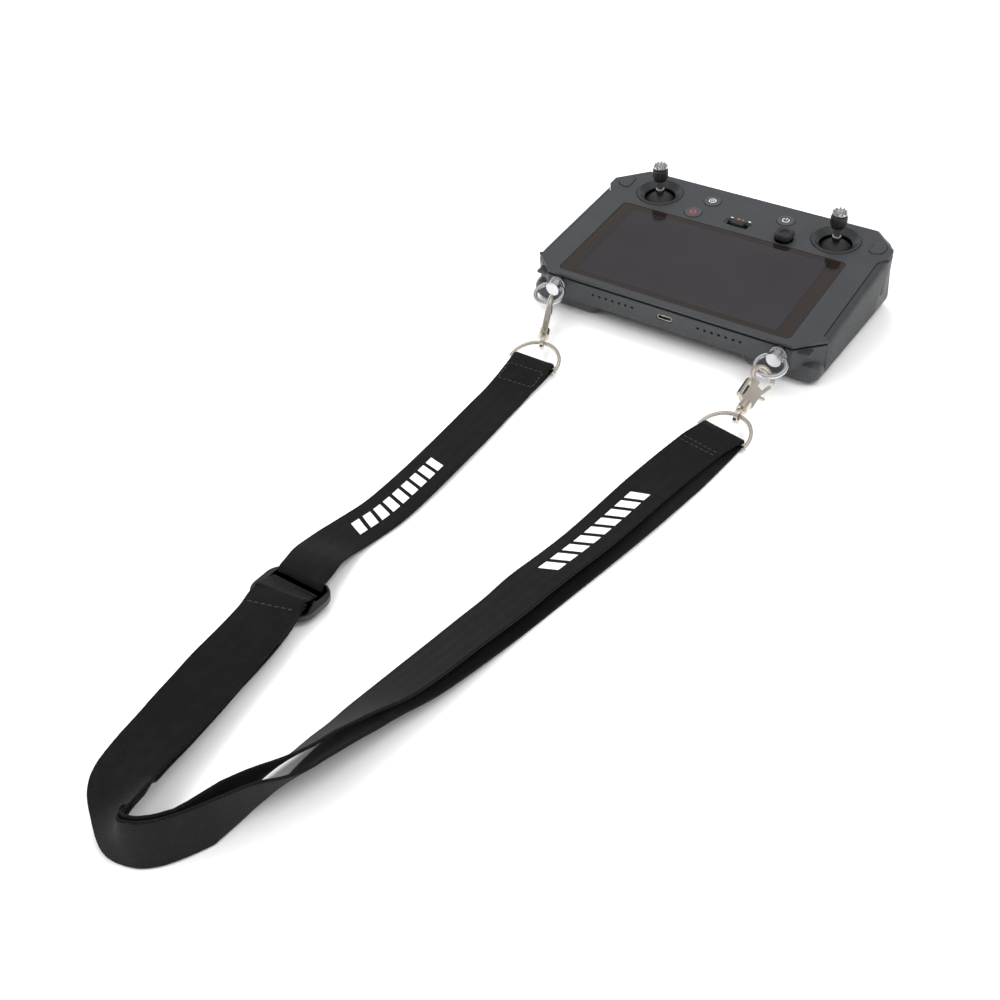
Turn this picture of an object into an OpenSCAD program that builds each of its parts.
// Handheld radio transmitter controller with a built-in screen, two
// thumb sticks, folding aerials and a clip-on webbing neck strap.
// Origin: on the table under the centre of the display. +X right,
// +Y away from the user, +Z up. Millimetres. The case rests on its grips
// with the far edge raised; everything inside place() is drawn in the
// case's own frame, whose origin is the centre of the screen face.

/* [Case] */
// Tilt of the screen face when the case rests on its grips
tilt = 8; // [7:1:9]
// Height of the screen centre over the table
face_h = 31; // [31:1:34]
// Y of the near edge of the case
near_y = -42; // [-43:1:-42]
// Thickness of the moulded walls
wall = 2.2; // [1.8:0.1:2.4]

/* [Screen] */
// Width of the cover glass
glass_w = 139.6; // [136:0.2:141]
// Depth of the cover glass
glass_d = 76.2; // [74:0.2:77]
// Width of the lit area
lit_w = 121.8; // [118:0.2:124]
// Depth of the lit area
lit_d = 68.5; // [66:0.5:70]

/* [Sticks] */
// Stick centre from the middle of the case
stick_x = 55.9; // [55:0.1:56.5]
// Stick centre from the middle of the screen
stick_y = 57; // [56.5:0.1:57.5]
// Height of the stick tips over the face
stick_h = 20; // [17:0.5:24]
// Ribs around each stick sleeve
sleeve_ribs = 20; // [12:1:28]

/* [Keys] */
// Radius of the round keys
key_r = 5.1; // [4.6:0.1:5.2]

/* [Strap] */
// Width of the webbing
web_w = 23.8; // [22:0.2:24.4]
// Thickness of the webbing
web_t = 1.3; // [1:0.1:1.3]
// Half spacing of the strap studs
stud_x = 67; // [66:0.5:68]
// Droop of each bail below level
bail_droop = 17; // [14:1:20]

/* [Hidden] */
$fn = 48;

dark = [0.27, 0.28, 0.29];
mid = [0.33, 0.34, 0.35];
black = [0.08, 0.08, 0.09];
steel = [0.75, 0.76, 0.78];
nickel = [0.80, 0.77, 0.72];
green = [0.05, 0.25, 0.15];
panel_grey = [0.2, 0.18, 0.22];
cell_blue = [0.15, 0.35, 0.6];

// Places in the case frame shared by several pieces. Where only one side
// is given it is the right one, and the left is its mirror image.
frame_top = -3.05;
frame_bottom = -12;
rear_top = -12.1;
glass_y = 0.3;
screw_at = [[38, -30], [38, 20], [36, 65]];
pivot_z = -11.5;
home_at = [-28.2, 46.3];
pause_at = [-23.3, 61.8];
power_at = [23.3, 61.8];
five_at = [29.8, 44.7];
rocker_z = -5.2;
far_key_x = 57.5;
far_key_z = -21;
rear_key_at = [30, 30];
dial_at = [77.9, 70.3];
aerial_at = [61.5, 77];
// Half width and near side of the recess for the folded aerials
recess_x = 66;
recess_y = 73.6;
usb_c_z = -8.3;
stud_y = -46.8;
stud_z = -6.5;

// ---- frames and small shapes ------------------------------------------
module place() translate([0, 0, face_h]) rotate([tilt, 0, 0]) children();
function case_to_table(p) = [
  p[0],
  p[1] * cos(tilt) - p[2] * sin(tilt),
  p[1] * sin(tilt) + p[2] * cos(tilt) + face_h];

// The children and their mirror image
module mirror_pair(normal = [1, 0, 0]) {
  children();
  mirror(normal) children();
}
// The children as drawn for side 1, mirrored for side -1
module on_side(side) mirror([side < 0 ? 1 : 0, 0, 0]) children();

// Slab with round corners, centred in x and y, z from 0 to thick
module slab(width, depth, corner, thick)
  linear_extrude(thick) union() {
    square([width - 2 * corner, depth], center = true);
    square([width, depth - 2 * corner], center = true);
    for (i = [-1, 1], j = [-1, 1])
      translate([i * (width / 2 - corner), j * (depth / 2 - corner)]) circle(corner);
  }
// Round rods along each axis
module rod_x(x0, x1, y, z, radius)
  translate([x0, y, z]) rotate([0, 90, 0]) cylinder(r = radius, h = x1 - x0);
module rod_y(x, y0, y1, z, radius)
  translate([x, y0, z]) rotate([-90, 0, 0]) cylinder(r = radius, h = y1 - y0);
module rod_z(x, y, z0, z1, radius)
  translate([x, y, z0]) cylinder(r = radius, h = z1 - z0);
module box(x0, x1, y0, y1, z0, z1)
  translate([x0, y0, z0]) cube([x1 - x0, y1 - y0, z1 - z0]);

// Right half outline of the face, x and y: near corner, grip shoulder,
// far corner
face_half = [[74, near_y], [87.6, -29.6], [84, -26.4], [84, 46], [88.2, 53],
  [88.2, 60], [86.5, 65.5], [82.5, 71], [76.5, 76], [70.5, 78.5], [60, 79.8]];
function reversed(list) = [for (i = [len(list) - 1:-1:0]) list[i]];
function full_outline(half) = concat(half, [for (p = reversed(half)) [-p[0], p[1]]]);
function inset(half, margin) = [for (p = half)
  [p[0] - margin, p[1] + (p[1] < 0 ? margin : (p[1] > 70 ? -margin : 0))]];
// Plate in the outline of the face, drawn in by margin
module face_plate(margin, z0, z1)
  translate([0, 0, z0]) linear_extrude(z1 - z0)
    polygon(full_outline(inset(face_half, margin)));

// Outline of the right corner key, x and y
corner_tab = [[76, 54.6], [78.4, 53.2], [82.6, 54.6], [84.2, 57.8], [83.7, 62],
  [81, 65.6], [78.4, 65.6], [76, 63]];
function tab_inset(margin) = [for (p = corner_tab)
  [p[0] + (p[0] < 80 ? margin : -margin), p[1] + (p[1] < 60 ? margin : -margin)]];

// ---- housing -----------------------------------------------------------
module front_cover() color(dark) place() difference() {
  union() {
    face_plate(0, -1.6, 0);
    face_plate(1.3, -3, -1.55);
    // bosses that carry the two stick units
    mirror_pair() for (i = [-1, 1], j = [-1, 1])
      rod_z(stick_x + i * 12.2, stick_y + j * 12.2, -5.7, -2.9, 1.6);
  }
  // far edge and corners fall away from the face
  translate([-100, 75.6, 0]) rotate([-35.5, 0, 0]) cube([200, 20, 10]);
  mirror_pair() translate([74.1, 74.1, 0]) rotate([0, 0, -45]) rotate([-37.5, 0, 0])
    translate([-40, 0, 0]) cube([80, 20, 10]);
  // seat and window of the screen
  translate([0, glass_y, -1.45]) slab(glass_w + 0.3, glass_d + 0.3, 3, 3);
  translate([0, glass_y, -4]) slab(134, 71, 2, 5);
  // openings for the sticks, keys, mode slider and aerial pins
  mirror_pair() rod_z(stick_x, stick_y, -4, 1, 14.2);
  for (at = [home_at, pause_at, power_at]) rod_z(at[0], at[1], -4, 1, key_r + 0.25);
  rod_z(five_at[0], five_at[1], -4, 1, 5.4);
  box(-6.6, 6.6, 45, 49.2, -4, 1);
  translate([0, 47.1, -0.6]) slab(16.4, 6.4, 2.2, 2);
  mirror_pair() translate([0, 0, -4]) linear_extrude(5) polygon(tab_inset(-0.25));
  mirror_pair() rod_z(aerial_at[0], aerial_at[1], -4, -1.9, 1.3);
}

module mid_frame() color(mid) place() difference() {
  union() {
    difference() {
      face_plate(0, frame_bottom, frame_top);
      face_plate(wall, -13, -2);
    }
    // chassis plate under the screen, and its screw bosses
    box(-82.5, 82.5, -40.5, 38.3, -5.6, -4.2);
    mirror_pair() for (at = screw_at)
      if (at[1] < 39) rod_z(at[0], at[1], frame_bottom, -5.5, 3);
    // walls round the aerial recess
    box(-62, 62, recess_y - wall, recess_y, frame_bottom, frame_top);
    mirror_pair()
      box(recess_x, recess_x + wall, recess_y - wall, 79, frame_bottom, frame_top);
    // pads that take the threads of the strap studs
    mirror_pair() box(stud_x - 5, stud_x + 5, -40, -34, -11.5, -3.8);
  }
  // recess along the far edge for the folded aerials
  box(-recess_x, recess_x, recess_y, 90, -13, -2);
  mirror_pair() {
    for (at = screw_at) rod_z(at[0], at[1], -13, -6.5, 1.3);
    rod_y(stud_x, -45, -34.8, stud_z, 2.05);
    // row of holes in front of each speaker
    for (i = [0:6]) rod_y(20 + 4.15 * i, -45, -39, -8, 0.8);
  }
  // mouth of the near socket
  translate([0, -38, usb_c_z]) rotate([90, 0, 0]) translate([0, 0, -2]) slab(9.6, 3.5, 1.6, 8);
}

// Outer underside of the middle of the rear cover at a given y
function belly_z(y) = -19.5 - 0.07 * (y + 37);

// Right hand grip of the rear cover, shrunk by margin for the cavity
module hand_grip(margin) hull() {
  // y and z of the near and far balls
  for (end = [[-33, -19.4], [64, -33]], x = [81.5, 50])
    translate([x, end[0], end[1]]) sphere(r = 6.5 - margin, $fn = 28);
  box(42 + margin, 83.8 - margin, -38 + margin, 74 - margin, -15, -13.5);
}

// Profiles of the belly, y and z from the near top to the far top
belly_outer = [[near_y + 0.4, rear_top], [near_y + 0.4, -16], [-37, -19.5], [70, -27],
  [76, -27.2], [79.5, -24.5], [79.5, rear_top]];
belly_inner = [[near_y + 2.6, -11], [near_y + 2.6, -15.2], [-36, -17.3], [70, -24.8],
  [75, -24.9], [77.3, -23.6], [77.3, -11]];

// Body of the rear cover: a flat plate, a deeper part beyond deep_y, the
// belly between the grips, and the grips
module rear_body(margin, top, flat_z, deep_z, deep_y, belly_w, belly, grip_margin) {
  face_plate(margin, flat_z, top);
  intersection() {
    face_plate(margin, deep_z, top);
    box(-100, 100, deep_y, 90, -30, 0);
  }
  translate([-belly_w / 2, 0, 0]) rotate([90, 0, 90]) linear_extrude(belly_w) polygon(belly);
  mirror_pair() hand_grip(grip_margin);
}

module rear_cavity() difference() {
  rear_body(margin = wall + 0.4, top = -11, flat_z = -14.2, deep_z = -24.5 + wall,
    deep_y = 34 + wall, belly_w = 96, belly = belly_inner, grip_margin = wall);
  // wall behind the aerials, screw bosses and dial posts
  box(-68.2, 68.2, 71.2, 90, -18.4, -11);
  mirror_pair() {
    for (at = screw_at) rod_z(at[0], at[1], -30, rear_top, 3.4);
    rod_z(dial_at[0], dial_at[1], -24, -13, 1.2);
    rod_z(dial_at[0], dial_at[1], -24, -22.4, 2.2);
  }
}

module rear_cover() color(dark) place() difference() {
  rear_body(margin = 0.2, top = rear_top, flat_z = -16, deep_z = -24.5,
    deep_y = 34, belly_w = 100, belly = belly_outer, grip_margin = 0);
  rear_cavity();
  // nothing of the grips over the parting line
  box(-100, 100, -60, 100, rear_top, 0);
  box(-recess_x, recess_x, recess_y, 90, -16.2, -11);
  // air intake under the belly
  for (i = [-5:5]) box(i * 4 - 1, i * 4 + 1, -14, 12, -30, -16.5);
  // air outlet and sockets in the far wall
  for (i = [0:4]) box(34 + i * 3, 35.6 + i * 3, 76, 90, -23.5, -19.2);
  box(-32.4, -16.6, 68, 90, -24.4, -18.4);
  box(-7.4, 6.4, 68, 90, -24.4, -18.4);
  box(14.4, 27.6, 68, 90, -22.4, -19.4);
  mirror_pair() {
    rod_z(aerial_at[0], aerial_at[1], -17.8, -11, 1.3);
    // screw holes and the wells for their heads
    for (at = screw_at) {
      rod_z(at[0], at[1], -40, -11, 1.5);
      rod_z(at[0], at[1], -40, belly_z(at[1]) + 2, 2.7);
    }
    // far and rear keys
    rod_y(far_key_x, 76.9, 90, far_key_z, 3);
    rod_y(far_key_x, 70, 77, far_key_z, 3.6);
    rod_z(rear_key_at[0], rear_key_at[1], -30, -18, 4.5);
    // window that lets the rim of the dial out
    difference() {
      rod_z(dial_at[0], dial_at[1], -22.3, -15.9, 7);
      rod_z(dial_at[0], dial_at[1], -24, -13, 1.2);
    }
  }
}

// Rubbed edge strip along the side of the case, right side as drawn
module side_grip(side) on_side(side) color(black) place() difference() {
  hull() {
    translate([85.9, -27.4, -3.6]) rotate([-90, 0, 0]) cylinder(r = 2.7, h = 78, $fn = 32);
    translate([84.7, -27.4, -17.5]) rotate([-90, 0, 0]) cylinder(r = 3.9, h = 76, $fn = 32);
    box(84.3, 84.8, -26.4, 46, -1.2, -1);
    box(84.3, 84.8, -26.4, 46, -21, -20.8);
  }
  box(70, 84.25, -50, 80, -40, 5);
  // mitres against the near corner and the shoulder of the case
  translate([0, 0, -30]) linear_extrude(40)
    polygon([[80, -40], [95, -40], [95, -27], [87.9, -29.3], [84.2, -26], [80, -26]]);
  translate([0, 0, -30]) linear_extrude(40)
    polygon([[80, 45.6], [84.1, 45.6], [89, 52.6], [95, 60], [80, 60]]);
  hand_grip(-0.15);
}

module screen_glass()
  color(black) place() translate([0, glass_y, -1.4]) slab(glass_w, glass_d, 2.9, 1.25);
module display_panel()
  color(panel_grey) place() translate([0, 0, -3.7]) slab(lit_w + 6, lit_d - 2, 1, 2.2);

// ---- electronics -------------------------------------------------------
module circuit_boards() color(green) place() {
  // board under the screen, with blocks on its underside
  difference() {
    union() {
      box(-34, 34, -33.6, 38, -8.2, -6.6);
      box(-24, 10, -18, 14, -9.9, -8.1);
      box(16, 32, -30, -10, -9.6, -8.1);
      box(-32, -26, 20, 34, -9.4, -8.1);
    }
    for (at = [[-31, -30], [31, -31], [-31, 36], [31, 36]])
      rod_z(at[0], at[1], -12, -6, 1.3);
  }
  // board between the sticks
  difference() {
    box(-39, 39, 41, 70.8, -8.9, -7.4);
    mirror_pair() for (at = screw_at) rod_z(at[0], at[1], -12, -6, 3.8);
  }
}

module battery_cells() color(cell_blue) place() mirror_pair() {
  rod_y(70.6, -25, 39, -15.6, 9.1);
  rod_y(70.6, 38.9, 39.8, -15.6, 2.6);
}

// Frame of the fan, origin on its axis
module fan_place() place() translate([0, 50, 0]) children();

module fan_housing() color(black) fan_place() difference() {
  union() {
    rod_z(0, 0, -17.5, -10, 16.2);
    box(-9, 9, 10, 19, -17.5, -10);
  }
  rod_z(0, 0, -16.3, -11.2, 14.8);
  box(-7.8, 7.8, 8, 20, -16.3, -11.2);
  rod_z(0, 0, -12, -9, 9);
  rod_z(0, 0, -18, -16, 1.05);
}

fan_blades = 11;
module fan_rotor() color(mid) fan_place() difference() {
  union() {
    rod_z(0, 0, -15.8, -11.6, 5);
    rod_z(0, 0, -15.9, -15.2, 13.6);
    for (i = [0:fan_blades - 1])
      rotate([0, 0, i * 360 / fan_blades]) translate([4.6, -0.4, -15.3]) cube([8.8, 0.8, 3.5]);
    rod_z(0, 0, -17.3, -15.8, 1);
  }
  rod_z(0, 0, -12.4, -11, 3.6);
}

module heat_sink() color(steel) place() {
  box(-26, 12, -20, 16, -11.6, -10.1);
  for (i = [0:9]) box(-26 + i * 4.1, -24.9 + i * 4.1, -20, 16, -15.4, -11.5);
}

speaker_x = 32.5;
module speakers() color(black) place() mirror_pair() difference() {
  box(speaker_x - 14, speaker_x + 14, -39.3, -34.2, -11.4, -5.8);
  rod_y(speaker_x, -39.6, -38.3, -8.6, 2.4);
}

// Open metal shell of a socket along y, mouth at y1, with a tongue inside
module socket(width, height, y0, y1, sheet, corner) {
  translate([0, y1, 0]) rotate([90, 0, 0]) difference() {
    slab(width, height, corner, y1 - y0);
    translate([0, 0, -1])
      slab(width - 2 * sheet, height - 2 * sheet, max(corner - sheet, 0.3), y1 - y0 - 0.5);
  }
  tongue_x = width / 2 - sheet - 1;
  box(-tongue_x, tongue_x, y0 + 0.8, y1 - 1.4, -0.35, 0.35);
}
module usb_c_port() color(steel) place() translate([0, 0, usb_c_z]) rotate([0, 0, 180])
  socket(8.9, 3.1, 34.2, 41.6, 0.35, 1.5);
module hdmi_port() color(steel) place() translate([-24.5, 0, -21.4])
  socket(14.5, 4.9, 69.2, 79.3, 0.4, 1);
module usb_a_port() color(steel) place() translate([-0.5, 0, -21.4])
  socket(13.1, 5.5, 69.2, 79.3, 0.4, 0.5);
module card_slot() color(steel) place() translate([21, 0, -20.9])
  socket(12.4, 2.4, 69.2, 79.2, 0.3, 0.35);

// ---- stick units -------------------------------------------------------
// Frame of a stick, origin on its axis at height z in the case frame
module stick_place(side, z = 0)
  place() translate([side * stick_x, stick_y, z]) children();

// Ring round the stick opening; profile is radius and z
module bezel(side) color(black) stick_place(side) rotate_extrude()
  polygon([[9.2, -3], [9.3, -2.3], [12.4, 0.1], [12.9, 0.7], [13.5, 0.8], [13.9, 0.4],
    [14.05, -0.2], [14.05, -3]]);

module gimbal_base(side) color(black) stick_place(side) difference() {
  union() {
    box(-15, 15, -15, 14.1, -22.2, -5.75);
    // raised block on the near wall
    box(-6, 6, -16.6, -14.9, -18, -7);
  }
  rod_z(0, 0, -21.2, -5, 13.4);
  rod_x(-16, 16, 0, pivot_z, 1.25);
}

module gimbal_ring(side) color(mid) stick_place(side, pivot_z) difference() {
  union() {
    difference() {
      cylinder(r = 12.8, h = 4.2, center = true);
      cylinder(r = 11.35, h = 6, center = true);
    }
    mirror_pair() rod_x(12.2, 15.2, 0, 0, 1.2);
  }
  rotate([90, 0, 0]) cylinder(r = 1.05, h = 40, center = true);
}

module gimbal_dome(side) color(black) stick_place(side, pivot_z) {
  difference() {
    sphere(r = 11, $fn = 64);
    box(-20, 20, -20, 20, -20, -4);
  }
  mirror_pair([0, 1, 0]) rod_y(0, 10, 12.6, 0, 1);
  rod_z(0, 0, -9.4, -3.9, 2);
  rod_z(0, 0, 10.5, 18, 1.4);
}

module stick_shaft(side) color(steel) stick_place(side) difference() {
  union() {
    rod_z(0, 0, 0.4, 2.6, 2.5);
    rod_z(0, 0, 2.5, 8.4, 1.85);
    rod_z(0, 0, 8.3, 16.9, 3);
    // head with a step round its rim
    difference() {
      rod_z(0, 0, 16.8, 18.4, 4.2);
      translate([0, 0, 17.6]) difference() {
        cylinder(r = 5, h = 2);
        translate([0, 0, -1]) cylinder(r = 2.9, h = 4);
      }
    }
    // crown of small teeth round the top
    for (i = [0:9]) rotate([0, 0, i * 36]) box(3.1, 4.1, -0.55, 0.55, 17.5, 18.5);
    translate([0, 0, 18.3]) cylinder(r1 = 1.6, r2 = 0.5, h = stick_h - 18.3);
  }
  rod_z(0, 0, -1, 6.8, 1.45);
}

module stick_sleeve(side) color(black) stick_place(side) difference() {
  union() {
    rod_z(0, 0, 8.5, 16.7, 4.35);
    for (i = [0:sleeve_ribs - 1])
      rotate([0, 0, i * 360 / sleeve_ribs]) box(4.1, 4.7, -0.35, 0.35, 9.1, 16.3);
  }
  rod_z(0, 0, 8, 17, 3.05);
}

// ---- keys, switch and five-way stick ----------------------------------
// Cap, collar under the face, stem
module round_key(at) color(mid) place() {
  rod_z(at[0], at[1], -3.4, 0.5, key_r);
  rod_z(at[0], at[1], -4.1, -3.35, key_r + 0.9);
  rod_z(at[0], at[1], -6.4, -4, 1.5);
}
module corner_key(side) color(mid) place() on_side(side) {
  translate([0, 0, -3.4]) linear_extrude(3.9) polygon(corner_tab);
  translate([0, 0, -4.1]) linear_extrude(0.8) polygon(tab_inset(-0.8));
}
module mode_slider() color(black) place() {
  box(-3.9, 3.9, 45.3, 48.9, -3.4, 1);
  box(-5.2, 5.2, 43.6, 50.4, -4.1, -3.35);
  box(-1.2, 1.2, 46, 48.2, -6.3, -4);
}

// Frame of the five-way stick, origin on its axis at height z
module five_place(z) place() translate([five_at[0], five_at[1], z]) children();

module five_way_cap() color(black) five_place(0) {
  difference() {
    union() {
      translate([0, 0, 1.9]) slab(10.2, 10.2, 3, 2.1);
      translate([0, 0, 3.95]) slab(8.6, 8.6, 2.4, 0.5);
    }
    translate([0, 0, 3.9]) cylinder(r = 2.6, h = 2);
  }
  // stem and its trunnions along y
  rod_z(0, 0, -6.1, 2, 1.9);
  mirror_pair([0, 1, 0]) rod_y(0, 1.5, 3.6, rocker_z, 0.5);
}
module five_way_rocker() color(steel) five_place(rocker_z) difference() {
  union() {
    difference() {
      cylinder(r = 3.9, h = 1.6, center = true);
      cylinder(r = 2.8, h = 3, center = true);
    }
    mirror_pair() rod_x(3.5, 5.3, 0, 0, 0.5);
  }
  rotate([90, 0, 0]) cylinder(r = 0.54, h = 12, center = true);
}
module five_way_carrier() color(black) five_place(rocker_z) difference() {
  cylinder(r = 5.9, h = 2.2, center = true);
  cylinder(r = 4.5, h = 4, center = true);
  rotate([0, 90, 0]) cylinder(r = 0.54, h = 14, center = true);
}

// Keys in the far wall and under the belly
module far_key(side) color(mid) place() {
  rod_y(side * far_key_x, 75.2, 80.6, far_key_z, 2.8);
  rod_y(side * far_key_x, 75, 76.7, far_key_z, 3.4);
}
module rear_key(side) color(mid) place() {
  rod_z(side * rear_key_at[0], rear_key_at[1], -25, -19.6, 4.25);
  rod_z(side * rear_key_at[0], rear_key_at[1], -20.5, -19.6, 5.2);
}
module dial(side)
  color(black) place() translate([side * dial_at[0], dial_at[1], 0]) difference() {
    union() {
      rod_z(0, 0, -21.8, -16.4, 6.1);
      for (i = [0:23]) rotate([0, 0, i * 15]) box(5.7, 6.5, -0.4, 0.4, -21.3, -16.9);
    }
    rod_z(0, 0, -23, -15, 1.25);
  }

// ---- folding aerials ---------------------------------------------------
module antenna(side) color(black) place() on_side(side) difference() {
  union() {
    box(7, aerial_at[0], aerial_at[1] - 3, aerial_at[1] + 3, -15.8, -3.6);
    rod_z(aerial_at[0], aerial_at[1], -15.8, -3.6, 3);
  }
  rod_z(aerial_at[0], aerial_at[1], -20, 0, 1.25);
  for (i = [0:2]) box(12 + i * 5, 13.2 + i * 5, aerial_at[1] + 2.5, 90, -20, 0);
}
module antenna_pins()
  color(steel) place() mirror_pair() rod_z(aerial_at[0], aerial_at[1], -17.6, -2, 1.2);

// ---- fasteners and feet ------------------------------------------------
module housing_screws() color(steel) place() mirror_pair() for (at = screw_at) {
  head_z = belly_z(at[1]);
  difference() {
    union() {
      rod_z(at[0], at[1], head_z + 0.5, head_z + 1.98, 2.5);
      rod_z(at[0], at[1], head_z + 1.9, at[1] < 39 ? -7 : -13, 1.25);
    }
    // cross slot
    for (angle = [0, 90])
      translate([at[0], at[1], head_z + 0.4]) rotate([0, 0, angle])
        cube([2.8, 0.6, 1.4], center = true);
  }
}
module rubber_feet() color(black) mirror_pair() {
  rod_z(65, -24, 0, 0.6, 5);
  rod_z(65, 64, 0, 0.6, 6);
}

// ---- strap studs, bails and hooks -------------------------------------
module strap_studs()
  color(steel) place() mirror_pair() translate([stud_x, 0, stud_z]) difference() {
    union() {
      rod_y(0, stud_y - 2.6, near_y - 1.7, 0, 4.1);
      rod_y(0, near_y - 1.8, near_y - 0.05, 0, 4.7);
      for (i = [0:17])
        rotate([0, i * 20, 0]) box(3.9, 4.35, near_y - 3.6, near_y - 1.7, -0.35, 0.35);
      rod_y(0, near_y - 0.1, -35, 0, 1.95);
    }
    translate([0, stud_y, 0]) rotate([0, 90, 0]) cylinder(r = 1.25, h = 20, center = true);
  }

bail_r = 8;
bail_wire_r = 1.25;
// Bow centre from the stud axis
bail_reach = 5.9;
module bail(side)
  color(steel) translate(case_to_table([side * stud_x, stud_y, stud_z]))
    rotate([bail_droop, 0, 0]) {
      translate([0, -bail_reach, 0]) rotate([0, 0, 128])
        rotate_extrude(angle = 284) translate([bail_r, 0]) circle(r = bail_wire_r);
      rod_x(-6.1, 6.1, 0, 0, bail_wire_r - 0.1);
    }

// Left then right: eye points where each hook's swivel holds its D-ring,
// and the turn, rise and roll of each hook
eye_at = [[-49.3, -86.3, 8.3], [67.9, -90.2, 7.8]];
hook_turn = [24.3, 1];
hook_rise = [8.2, 11.2];
hook_roll = [95, 45];
bow_y = 29.8;
gate_at = [2.6, 18.2];

// Frame of hook i, origin at its eye, +Y along the hook
module hook_place(i, roll)
  translate(eye_at[i]) rotate([0, 0, hook_turn[i]]) rotate([hook_rise[i], 0, 0])
    rotate([0, roll, 0]) children();

module hook_body(i) color(nickel) hook_place(i, hook_roll[i]) difference() {
  union() {
    // bow, open on the gate side
    translate([0, bow_y, 0]) rotate([0, 0, 20])
      rotate_extrude(angle = 236) translate([6.4, 0]) circle(r = 1.5);
    // shank and swivel barrel
    box(-4.2, 3.6, 9.5, 22.6, -1.6, 1.6);
    box(-4.2, -0.6, 22, 25.6, -1.4, 1.4);
    rod_y(0, 4.6, 10.2, 0, 3);
    // spring rail beside the shank
    box(-7, -5.6, 10.5, 22.5, -1.2, 1.2);
    box(-6.4, -3.8, 9.9, 11.6, -1.2, 1.2);
    box(-6.4, -3.8, 21, 22.8, -1.2, 1.2);
  }
  rod_y(0, 3, 8, 0, 1.25);
  rod_y(0, 6, 8.4, 0, 2.15);
  // fork and rivet hole of the gate
  box(0.9, 5, 15.8, 24, -0.95, 0.95);
  rod_z(gate_at[0], gate_at[1], -3, 3, 0.62);
}

module hook_gate(i)
  color(nickel) hook_place(i, hook_roll[i]) translate([gate_at[0], gate_at[1], 0]) {
    rod_z(0, 0, -0.8, 0.8, 1.5);
    // gate arm and thumb lever
    rotate([0, 0, -16]) box(-0.9, 0.9, 0, 12.2, -0.8, 0.8);
    rotate([0, 0, -58]) box(-0.8, 0.8, 1, 5.2, -0.8, 0.8);
    // rivet
    rod_z(0, 0, -1.58, 1.58, 0.58);
  }

module swivel_eyes() color(nickel) for (i = [0, 1]) hook_place(i, 90) {
  difference() {
    cylinder(r = 3.9, h = 1.9, center = true);
    cylinder(r = 2.1, h = 4, center = true);
  }
  rod_y(0, 3.4, 6.6, 0, 1.15);
  rod_y(0, 6.5, 7.9, 0, 2);
}

// ---- D-rings and slider -----------------------------------------------
// Left then right: middle of each ring's straight bar, its turn and rise
bar_at = [[-46.5, -99.6, 3.5], [66.3, -103, 3.3]];
bar_turn = [0, -12];
ring_rise = [20, 19];
ring_wire_r = 1.1;
module d_rings() color(nickel) for (i = [0, 1])
  translate(bar_at[i]) rotate([0, 0, bar_turn[i]]) rotate([ring_rise[i], 0, 0]) {
    rotate([0, 0, -5]) rotate_extrude(angle = 190) translate([14, 0]) circle(r = ring_wire_r);
    rod_x(-14.6, 14.6, 0, 0, ring_wire_r);
  }

slider_at = [-33.2, -308.5, 5.2];
// Width and thickness of the middle bar
slider_bar = 3;
module strap_slider() color(mid) translate(slider_at) difference() {
  translate([0, 0, -slider_bar / 2]) slab(33, 23, 8, slider_bar);
  mirror_pair([0, 1, 0]) box(-13.2, 13.2, slider_bar / 2, 8.5, -3, 3);
}

// ---- webbing -----------------------------------------------------------
// Stations of the band: x, y, z of its middle and its roll. Roll 0 lies
// flat, 90 stands on edge, 180 lies flat turned over.
// Left D-ring to the slider
left_stations = [[-45.5, -107, 4.8, 0], [-44.8, -119, 2.5, 0.5], [-44, -131, 1.1, 1],
  [-42.7, -147, 1.1, 1.5], [-40.7, -169, 1.2, 2], [-38.7, -194, 1.5, 3.5],
  [-37.4, -217, 1.4, 3], [-37.2, -240, 1.2, 2], [-39.2, -258, 1.5, 1],
  [-39.6, -272, 3.5, 0.5], [-37.4, -285, 7.4, 0], [-35.2, -293, 8.6, 0],
  [-34.2, -298.5, 8.5, 0]];
// Slider round the near bend, outer layer
bend_stations = [[-31.9, -315, 11.3, 0], [-30.9, -320, 11.6, -1], [-28.2, -328, 11.6, -5],
  [-26, -337.5, 12, -8.5], [-24, -348.5, 12.6, -11], [-22, -361, 13.4, -12.5],
  [-20, -371.5, 14, -11], [-18.2, -383, 14.4, -9], [-16.5, -394, 14.7, -5],
  [-14.8, -407, 15, 0], [-12, -418, 15.2, 8], [-6.3, -426, 13.8, 34], [0, -433, 13, 60],
  [5.2, -435, 12.6, 83], [11, -433.2, 12.6, 87], [16.5, -428.5, 12.7, 89],
  [21, -422, 12.8, 91]];
// Bend to the right D-ring, layer that ends over its bar
right_over = [[22.4, -404.5, 12.7, 97], [23.6, -396, 12.5, 108], [25.3, -387, 11.8, 119],
  [27.2, -379, 11.3, 126], [29.2, -370.5, 10.8, 130.5], [30.7, -361.5, 10.5, 134],
  [32.6, -353, 10, 138], [34.5, -343, 9.4, 145], [37.5, -330, 8.6, 154],
  [39.7, -314, 7.6, 158.5], [41.5, -298, 6.9, 160], [43.5, -281, 6.2, 162.5],
  [45.6, -265, 5.8, 164.5], [47, -248, 5.4, 167.5], [49.6, -229, 4.9, 167],
  [52.2, -210, 4.5, 169], [54.1, -188, 4, 172.5], [55.9, -163, 3.6, 176.5],
  [58.9, -134.5, 3.3, 179.5], [62, -116.5, 4.3, 180.5]];
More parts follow.
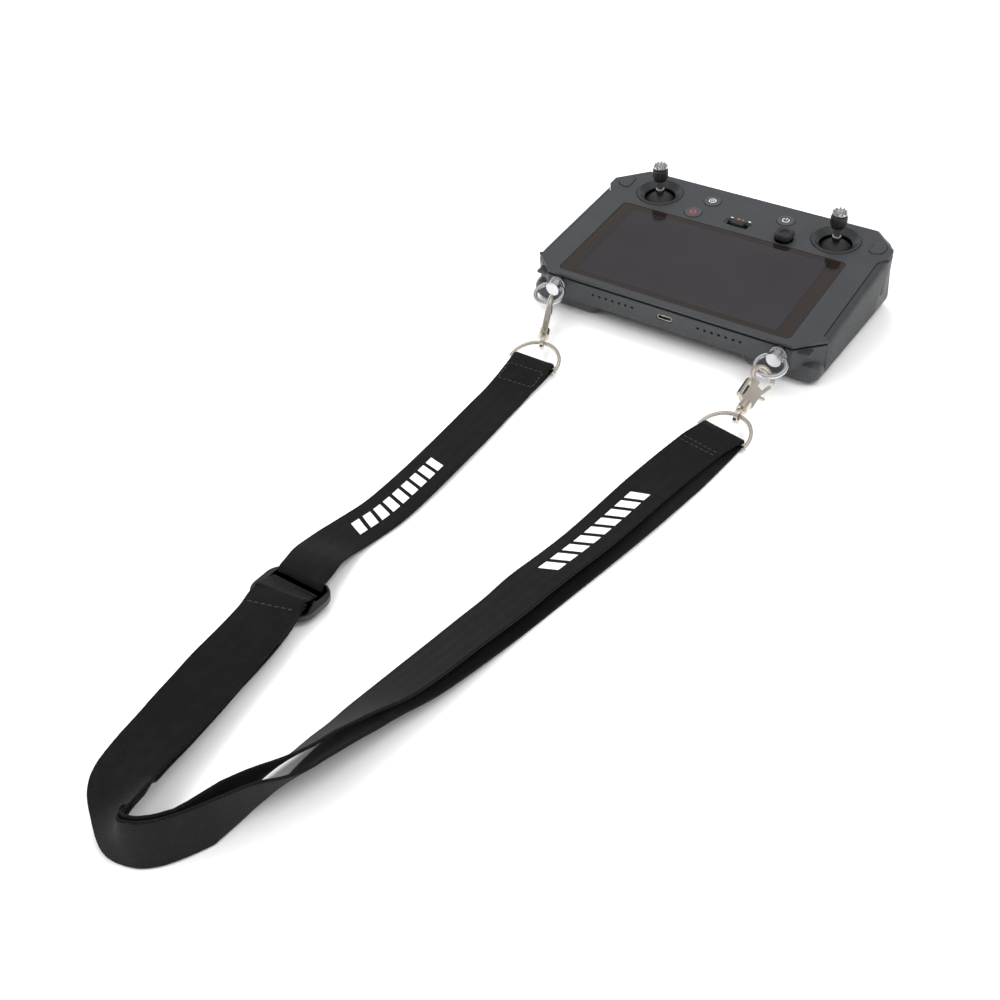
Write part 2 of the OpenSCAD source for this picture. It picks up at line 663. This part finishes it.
// Bend to the right D-ring, layer that ends under its bar
right_under = [[25, -413.8, 12.6, 92], [27.5, -405.5, 12.8, 100], [30, -397, 12.6, 109],
  [33, -388.5, 11.5, 121], [34.5, -380.7, 10.3, 128.5], [35, -372, 9.4, 134],
  [35.9, -362, 8.5, 139.5], [37, -350, 7.1, 147], [38.5, -336, 5.8, 155],
  [41.4, -318, 4.1, 165], [44.4, -292, 2.3, 173.5], [47.3, -267, 1.1, 179],
  [51.6, -238, 1, 179.5], [56.4, -208, 1.2, 178], [59.9, -183, 1.25, 177.5],
  [62.3, -161, 1.1, 178.5], [64.2, -141, 1, 180], [65.4, -121, 1, 180], [66, -110, 1.1, 180]];
// Over the slider's far bar, under its middle bar, over its near bar: x, y, z
weave_points = [[-34, -300, 8.1], [-33.8, -301, 7.3], [-33.7, -301.5, 6], [-33.6, -301.9, 4.4],
  [-33.5, -302.7, 2.8], [-33.4, -303.9, 1.7], [-33.3, -305.3, 1.3], [-33.1, -311.2, 1.3],
  [-32.9, -312.9, 1.7], [-32.7, -314, 3.2], [-32.5, -314.7, 5.2], [-32.3, -315.3, 7],
  [-31.9, -316.3, 8.1], [-31.4, -318, 8.4]];

// Radii of the band's middle round a D-ring bar and the slider's middle bar
ring_wrap_r = ring_wire_r + 0.3 + web_t / 2;
slider_wrap_r = slider_bar / 2 + 0.35 + web_t / 2;
left_across = [1, 0, 0];
right_across = [cos(bar_turn[1]), sin(bar_turn[1]), 0];

function unit(v) = v / norm(v);
// Catmull-Rom curve through the stations, 3 steps to a span
function catmull(a, b, c, d, t) = 0.5 * ((2 * b) + (c - a) * t
  + (2 * a - 5 * b + 4 * c - d) * t * t + (3 * b - a - 3 * c + d) * t * t * t);
function spline(stations, steps = 3) = let (last = len(stations) - 1) concat(
  [for (i = [0:last - 1], k = [0:steps - 1])
    catmull(stations[max(i - 1, 0)], stations[i], stations[i + 1],
      stations[min(i + 2, last)], k / steps)],
  [stations[last]]);
function heading(points, i) =
  unit(points[min(i + 1, len(points) - 1)] - points[max(i - 1, 0)]);
// Direction across the band for its heading and roll
function across(along, roll) = let (
  flat = unit([along[0], along[1], 0]),
  level = [-flat[1], flat[0], 0],
  up = cross(along, level))
  level * cos(roll) + (up[2] < 0 ? -up : up) * sin(roll);
// A path is a list of [middle point, direction across]
function middles(path) = [for (section = path) section[0]];
function band(stations) = let (
  curve = spline(stations),
  points = [for (s = curve) [s[0], s[1], s[2]]])
  [for (i = [0:len(curve) - 1]) [points[i], across(heading(points, i), curve[i][3])]];
function straight(points) = [for (p = points) [p, left_across]];
// Half turn of the band round a bar, from under it to over it
function wrap(centre, side, radius) = let (out = [-side[1], side[0], 0])
  [for (a = [-90:22.5:90]) [centre + radius * (out * cos(a) + [0, 0, 1] * sin(a)), side]];

bend = band(bend_stations);
bend_middles = middles(bend);
// Section i of the bend moved inward by gap; where flat, that is down
function bend_inner(i, gap) =
  [bend[i][0] + gap * cross(bend[i][1], heading(bend_middles, i)), bend[i][1]];
function layer_gap(i) = i < 10 ? 3.2 : (i > 16 ? 2.2 : 3.2 - (i - 10) * 0.15);

route = concat(
  // sewn flap under the left strand, round the left D-ring bar, then down
  straight([[-45.4, -122, 0.85], [-45.8, -112, 0.9], [-46.3, -103, bar_at[0][2] - ring_wrap_r]]),
  wrap(bar_at[0], left_across, ring_wrap_r),
  band(left_stations),
  straight(weave_points),
  [for (i = [4:len(bend) - 1]) bend_inner(i, layer_gap(i))],
  band(right_over),
  reversed(wrap(bar_at[1], right_across, ring_wrap_r)),
  reversed(band(right_under)),
  reversed(bend),
  straight([[-32.6, -312.6, 9.9]]),
  reversed(wrap(slider_at + [0, 1.2, 0], left_across, slider_wrap_r)),
  // sewn tail folded back between the two layers
  straight([[-33.1, -310.4, slider_at[2] - slider_wrap_r + 0.1], [-32.9, -311.6, 3.6],
    [-32.7, -312.3, 5.4], [-32.5, -313, 7.4], [-32.2, -314.4, 9.2]]),
  [for (i = [3:9]) bend_inner(i, 1.6)]);

// Four corners of the band's section, square to its heading
function corners(section, along) = let (
  middle = section[0],
  side = unit(section[1] - along * (along * section[1])),
  w = side * web_w / 2,
  t = cross(along, side) * web_t / 2)
  [middle + w + t, middle - w + t, middle - w - t, middle + w - t];

module sweep(path) {
  points = middles(path);
  end = 4 * len(path);
  // first corner of a section, a corner and the next one round
  walls = [for (i = [0:len(path) - 2], j = [0:3]) [4 * i, j, (j + 1) % 4]];
  polyhedron(
    points = [for (i = [0:len(path) - 1]) each corners(path[i], heading(points, i))],
    convexity = 12,
    faces = concat(
      [[0, 1, 2], [0, 2, 3]],
      [[end - 1, end - 2, end - 3], [end - 1, end - 3, end - 4]],
      [for (f = walls) [f[0] + 4 + f[1], f[0] + 4 + f[2], f[0] + f[2]]],
      [for (f = walls) [f[0] + 4 + f[1], f[0] + f[2], f[0] + f[1]]]));
}
module webbing() color(black) sweep(route);

front_cover();
mid_frame();
rear_cover();
side_grip(-1);  // grip_left
side_grip(1);  // grip_right
screen_glass();
display_panel();
circuit_boards();
battery_cells();
fan_housing();
fan_rotor();
heat_sink();
speakers();
usb_c_port();
hdmi_port();
usb_a_port();
card_slot();
bezel(-1);  // bezel_left
bezel(1);  // bezel_right
gimbal_base(-1);  // gimbal_base_left
gimbal_base(1);  // gimbal_base_right
gimbal_ring(-1);  // gimbal_ring_left
gimbal_ring(1);  // gimbal_ring_right
gimbal_dome(-1);  // gimbal_dome_left
gimbal_dome(1);  // gimbal_dome_right
stick_shaft(-1);  // stick_shaft_left
stick_shaft(1);  // stick_shaft_right
stick_sleeve(-1);  // stick_sleeve_left
stick_sleeve(1);  // stick_sleeve_right
round_key(home_at);  // home_button
round_key(pause_at);  // pause_button
round_key(power_at);  // power_button
corner_key(-1);  // back_button
corner_key(1);  // confirm_button
mode_slider();
five_way_cap();
five_way_rocker();
five_way_carrier();
far_key(-1);  // record_button
far_key(1);  // shutter_button
rear_key(-1);  // rear_button_left
rear_key(1);  // rear_button_right
dial(-1);  // dial_left
dial(1);  // dial_right
antenna(-1);  // antenna_left
antenna(1);  // antenna_right
antenna_pins();
housing_screws();
rubber_feet();
strap_studs();
bail(-1);  // bail_left
bail(1);  // bail_right
hook_body(0);  // hook_left
hook_body(1);  // hook_right
hook_gate(0);  // gate_left
hook_gate(1);  // gate_right
swivel_eyes();
d_rings();
webbing();
strap_slider();
